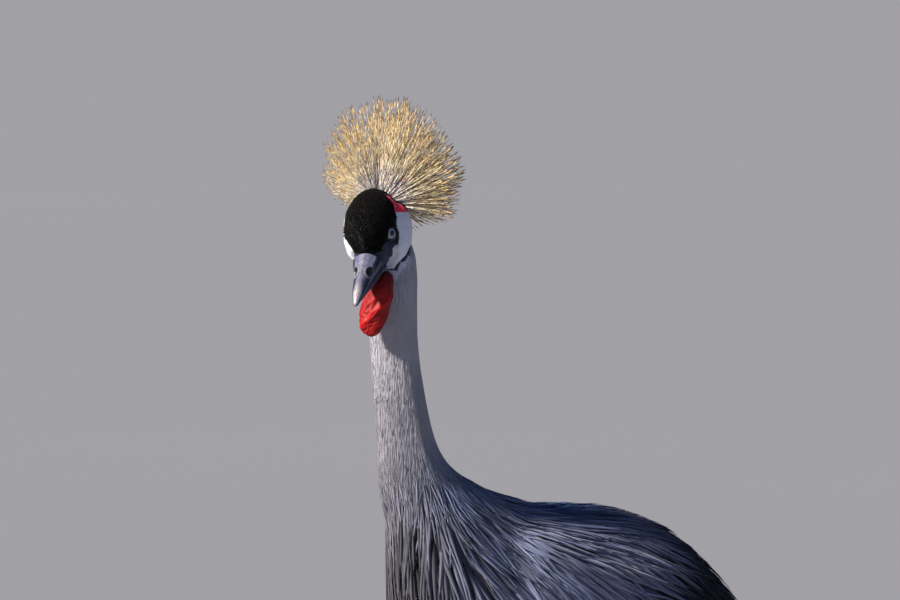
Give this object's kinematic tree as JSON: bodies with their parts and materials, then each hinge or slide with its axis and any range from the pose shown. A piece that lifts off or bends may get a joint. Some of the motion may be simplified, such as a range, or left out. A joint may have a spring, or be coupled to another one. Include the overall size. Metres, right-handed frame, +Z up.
{
  "type": "grey crowned crane, standing life-size model",
  "caption": "Life-size standing grey crowned crane with a bristle crest, black cap, white cheeks and red wattle, its head turned to its left and dipped",
  "frame": {"origin": "on the floor, under the middle of the bird's bounding box", "axes": "+Z up from the floor to the crest, +X the way the breast faces, +Y to the bird's left"},
  "size_m": [0.6072, 0.204, 1.0563],
  "materials": {
    "feather_neck": "soft pale grey hair-like feathers",
    "feather_back": "slate grey contour feathers with a dull sheen",
    "feather_white": "clean white covert feathers",
    "feather_chestnut": "dark chestnut loose plumes",
    "feather_black": "black flight feathers",
    "crest_bristle": "stiff straw-gold bristles with dark tips",
    "cap_velvet": "dense black velvet feathers",
    "cheek_skin": "bare white skin",
    "wattle_skin": "moist wrinkled red skin",
    "bill_horn": "smooth slate grey horn",
    "eye": "wet and glossy",
    "leg_scale": "blackish scaled skin",
    "claw_horn": "black horn"
  },
  "bodies": {
    "root": {"head": "cap_velvet", "cap": "cap_velvet", "cheek_left": "cheek_skin", "cheek_right": "cheek_skin", "eye_left": "eye", "eye_right": "eye", "bill_upper": "bill_horn", "bill_lower": "bill_horn", "crest": "crest_bristle", "wattle": "wattle_skin", "neck_upper": "feather_neck", "neck_middle": "feather_neck", "neck_lower": "feather_neck", "trunk": "feather_back", "wing_left": "feather_white", "wing_right": "feather_white", "tertials_left": "feather_chestnut", "tertials_right": "feather_chestnut", "tail": "feather_black", "thigh_left": "feather_back", "shin_left": "leg_scale", "shank_left": "leg_scale", "foot_left": "leg_scale", "toe_left_middle": "leg_scale", "claw_left_middle": "claw_horn", "toe_left_inner": "leg_scale", "claw_left_inner": "claw_horn", "toe_left_outer": "leg_scale", "claw_left_outer": "claw_horn", "toe_left_hind": "leg_scale", "claw_left_hind": "claw_horn", "thigh_right": "feather_back", "shin_right": "leg_scale", "shank_right": "leg_scale", "foot_right": "leg_scale", "toe_right_middle": "leg_scale", "claw_right_middle": "claw_horn", "toe_right_inner": "leg_scale", "claw_right_inner": "claw_horn", "toe_right_outer": "leg_scale", "claw_right_outer": "claw_horn", "toe_right_hind": "leg_scale", "claw_right_hind": "claw_horn"}
  },
  "joints": []
}
